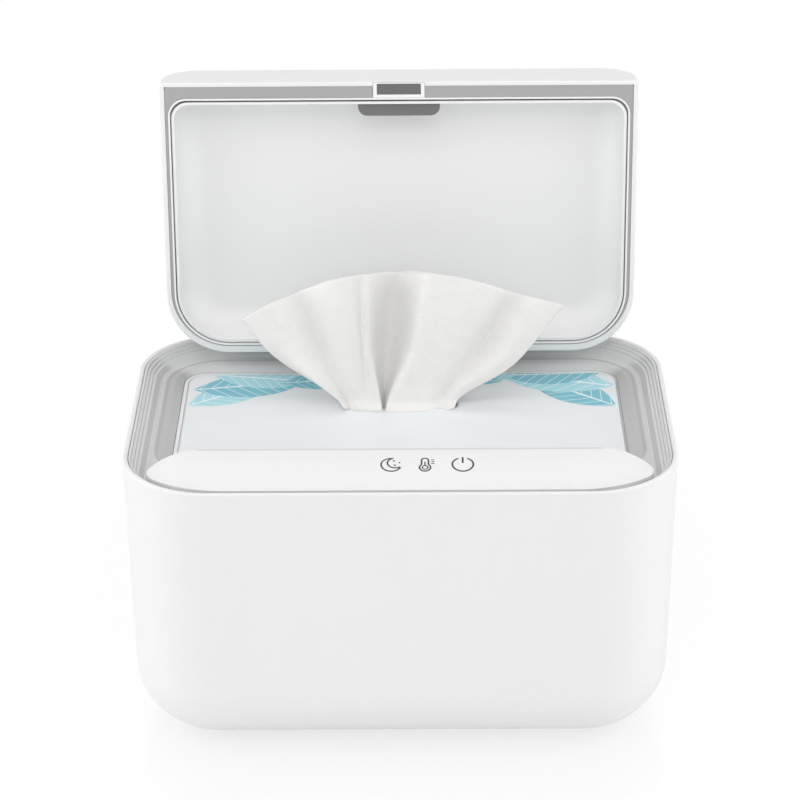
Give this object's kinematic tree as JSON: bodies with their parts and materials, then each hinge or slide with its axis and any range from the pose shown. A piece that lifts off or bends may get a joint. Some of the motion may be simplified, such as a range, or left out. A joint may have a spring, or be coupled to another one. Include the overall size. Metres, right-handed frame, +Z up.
{
  "type": "baby wipe warmer",
  "caption": "Countertop wipe warmer: deep rounded white tub with a stepped collar, a curved touch panel and a hinged magnetic lid standing open over a pack of wipes.",
  "frame": {"origin": "on the table under the middle of the casing, at the centre of the anti-slip ring", "axes": "+X to the right seen from the front, +Y to the back where the hinge is, +Z up"},
  "size_m": [0.225, 0.1658, 0.2445],
  "materials": {
    "casing_white": "satin white moulded ABS",
    "collar_grey": "fine matt light grey plastic",
    "tub_white": "soft white polypropylene",
    "panel_white": "smooth glossy white plastic",
    "lid_white": "satin white moulded ABS",
    "dish_white": "smooth white liner",
    "bezel_grey": "matt light grey plastic",
    "seal_white": "soft white silicone",
    "magnet_dark": "dark grey coated magnet",
    "cover_grey": "grey plastic",
    "base_grey": "matt pale grey plastic",
    "ring_grey": "matt grey silicone",
    "steel": "zinc plated steel",
    "aluminium": "rolled aluminium sheet",
    "film_amber": "amber heater film",
    "mat_grey": "needled insulation mat",
    "board_green": "printed circuit board with green resist",
    "part_black": "black moulded component",
    "connector_white": "natural nylon connector",
    "wire_grey": "silicone insulated wire",
    "led_clear": "clear lens of a small lamp",
    "foam_black": "conductive foam",
    "film_print": "printed glossy film",
    "wipe_cloth": "moist non-woven cloth"
  },
  "bodies": {
    "base": {"outer_shell": "casing_white", "base_cover": "base_grey", "anti_slip_ring": "ring_grey", "base_screws": "steel", "stepped_collar": "collar_grey", "liner_tub": "tub_white", "pack_film": "film_print", "wipe_stack": "wipe_cloth", "control_panel": "panel_white", "panel_screws": "steel", "touch_board": "board_green", "touch_board_screws": "steel", "touch_pads": "foam_black", "status_leds": "led_clear", "ribbon_cable": "wire_grey", "hinge_bracket": "base_grey", "hinge_screws": "steel", "hinge_pins": "steel", "strike_plate": "steel", "heat_spreader": "aluminium", "heater_film": "film_amber", "insulation_mat": "mat_grey", "thermistor": "part_black", "thermal_cutoff": "part_black", "power_board": "board_green", "wire_connectors": "connector_white", "board_parts": "part_black", "board_screws": "steel", "dc_jack": "part_black", "inlet_wires": "wire_grey", "heater_wires": "wire_grey", "sensor_wires": "wire_grey", "wipe": "wipe_cloth"},
    "lid": {"lid_shell": "lid_white", "lid_frame": "bezel_grey", "lid_seal": "seal_white", "lid_dish": "dish_white", "magnet_holder": "seal_white", "lid_magnet": "magnet_dark", "magnet_cover": "cover_grey"}
  },
  "joints": [
    {"name": "lid_hinge", "type": "hinge", "parent": "base", "child": "lid", "pos_m": [0, 0.06505, 0.1257], "axis": [1, 0, 0], "range_deg": [0, 94.5], "deforming": ["wipe"]}
  ]
}
